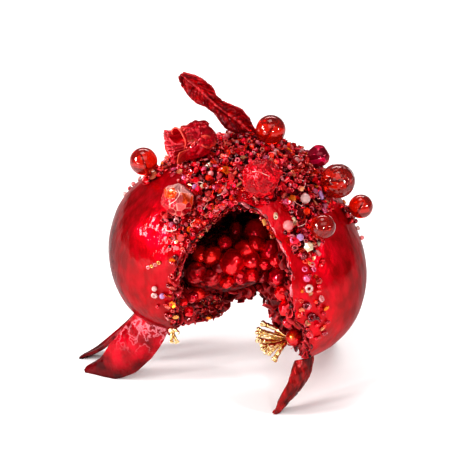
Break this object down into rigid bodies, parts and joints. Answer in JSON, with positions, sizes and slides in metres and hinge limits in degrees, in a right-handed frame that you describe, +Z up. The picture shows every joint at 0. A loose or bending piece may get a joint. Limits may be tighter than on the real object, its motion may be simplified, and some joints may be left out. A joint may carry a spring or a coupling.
{
  "type": "pomegranate ornament",
  "caption": "Split pomegranate ornament that stands on its crown lobes, with berries in the torn opening and a bead-covered top with round beads, a bud and a leaf.",
  "frame": {"origin": "centre of the bounding box in X and Y, on the floor the crown lobes stand on", "axes": "+Z up, from the crown lobes to the leaf; -Y towards the front, where the opening faces; +X to the right seen from the front"},
  "size_m": [0.1326, 0.0878, 0.1454],
  "materials": {
    "red_lacquer": "clear glossy lacquer over deep red",
    "aril_red": "wet gloss, slightly translucent",
    "seed_bead_red": "glossy small beads in mixed reds",
    "ruby_glass": "polished, clear orange-red",
    "crinkled_foil": "crumpled shiny red foil",
    "leaf_red": "stiffened, wrinkled, glossy dark red",
    "gold": "polished gold"
  },
  "bodies": {
    "root": {"fruit_shell": "red_lacquer", "aril_mound": "aril_red", "bead_crust": "seed_bead_red", "glass_bead_1": "ruby_glass", "glass_bead_2": "ruby_glass", "glass_bead_3": "ruby_glass", "glass_bead_4": "ruby_glass", "glass_bead_5": "ruby_glass", "crown_bead": "ruby_glass", "crinkled_bead_1": "crinkled_foil", "crinkled_bead_2": "crinkled_foil", "crinkled_bead_3": "crinkled_foil", "rosebud": "crinkled_foil", "top_leaf": "leaf_red", "calyx_lobe_near": "red_lacquer", "calyx_lobe_far": "red_lacquer", "calyx_lobe_front": "red_lacquer", "calyx_lobe_back": "red_lacquer", "stamens_left": "gold", "stamens_right": "gold"}
  },
  "joints": []
}
